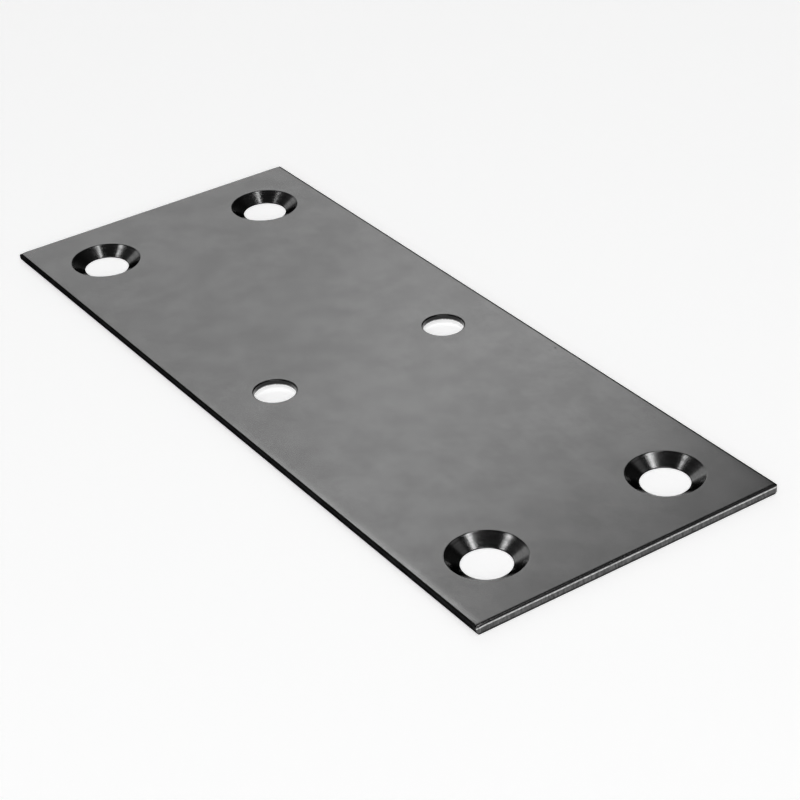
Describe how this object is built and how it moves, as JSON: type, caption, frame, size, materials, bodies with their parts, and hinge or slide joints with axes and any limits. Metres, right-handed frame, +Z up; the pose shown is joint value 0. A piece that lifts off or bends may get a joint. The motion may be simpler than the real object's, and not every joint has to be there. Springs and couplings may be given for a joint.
{
  "type": "bench plate",
  "caption": "Flat rectangular steel fixing plate with countersunk screw holes near its corners and plain bolt holes across the middle.",
  "frame": {"origin": "centre of the bottom face", "axes": "+X along the plate, +Y across it, +Z up through the sheet towards the countersunk face"},
  "size_m": [0.125, 0.05, 0.0015],
  "materials": {
    "plate_steel": "dull rolled sheet, tumbled, with bright cut countersinks"
  },
  "bodies": {
    "root": {"plate": "plate_steel"}
  },
  "joints": []
}
